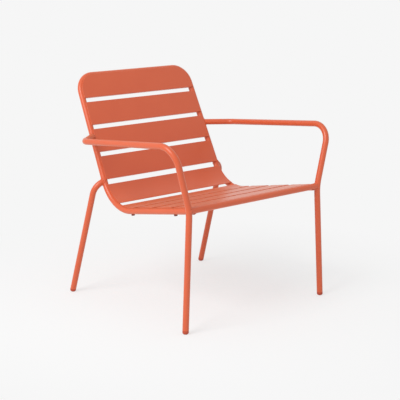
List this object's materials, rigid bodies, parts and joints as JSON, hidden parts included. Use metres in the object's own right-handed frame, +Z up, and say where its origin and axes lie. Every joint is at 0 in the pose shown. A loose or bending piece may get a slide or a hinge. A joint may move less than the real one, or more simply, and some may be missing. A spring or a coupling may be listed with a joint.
{
  "type": "garden lounge chair",
  "caption": "Low metal garden armchair of bent round tube, with wide sheet slats over a reclined seat and back and thin looped arms that run down into the front legs.",
  "frame": {"origin": "floor level, at the centre of the chair's footprint box", "axes": "+Z up, -Y the way the sitter faces, +X to the right of someone looking at the chair from in front; left and right in the names are seen from in front"},
  "size_m": [0.697, 0.6431, 0.7434],
  "materials": {
    "orange_powder_coat": "satin powder coat on steel",
    "orange_foot_plastic": "moulded plastic in the chair's colour",
    "red_brown_rubber": "dull moulded rubber"
  },
  "bodies": {
    "root": {"back_slat_1": "orange_powder_coat", "back_slat_2": "orange_powder_coat", "back_slat_3": "orange_powder_coat", "back_slat_4": "orange_powder_coat", "back_slat_5": "orange_powder_coat", "front_rail": "orange_powder_coat", "left_arm_and_front_leg": "orange_powder_coat", "left_front_bumper": "red_brown_rubber", "left_front_glide": "orange_foot_plastic", "left_rear_bumper": "red_brown_rubber", "left_rear_glide": "orange_foot_plastic", "left_rear_leg": "orange_powder_coat", "right_arm_and_front_leg": "orange_powder_coat", "right_front_bumper": "red_brown_rubber", "right_front_glide": "orange_foot_plastic", "right_rear_bumper": "red_brown_rubber", "right_rear_glide": "orange_foot_plastic", "right_rear_leg": "orange_powder_coat", "seat_slat_1": "orange_powder_coat", "seat_slat_2": "orange_powder_coat", "seat_slat_3": "orange_powder_coat", "seat_slat_4": "orange_powder_coat", "shell_frame": "orange_powder_coat"}
  },
  "joints": []
}
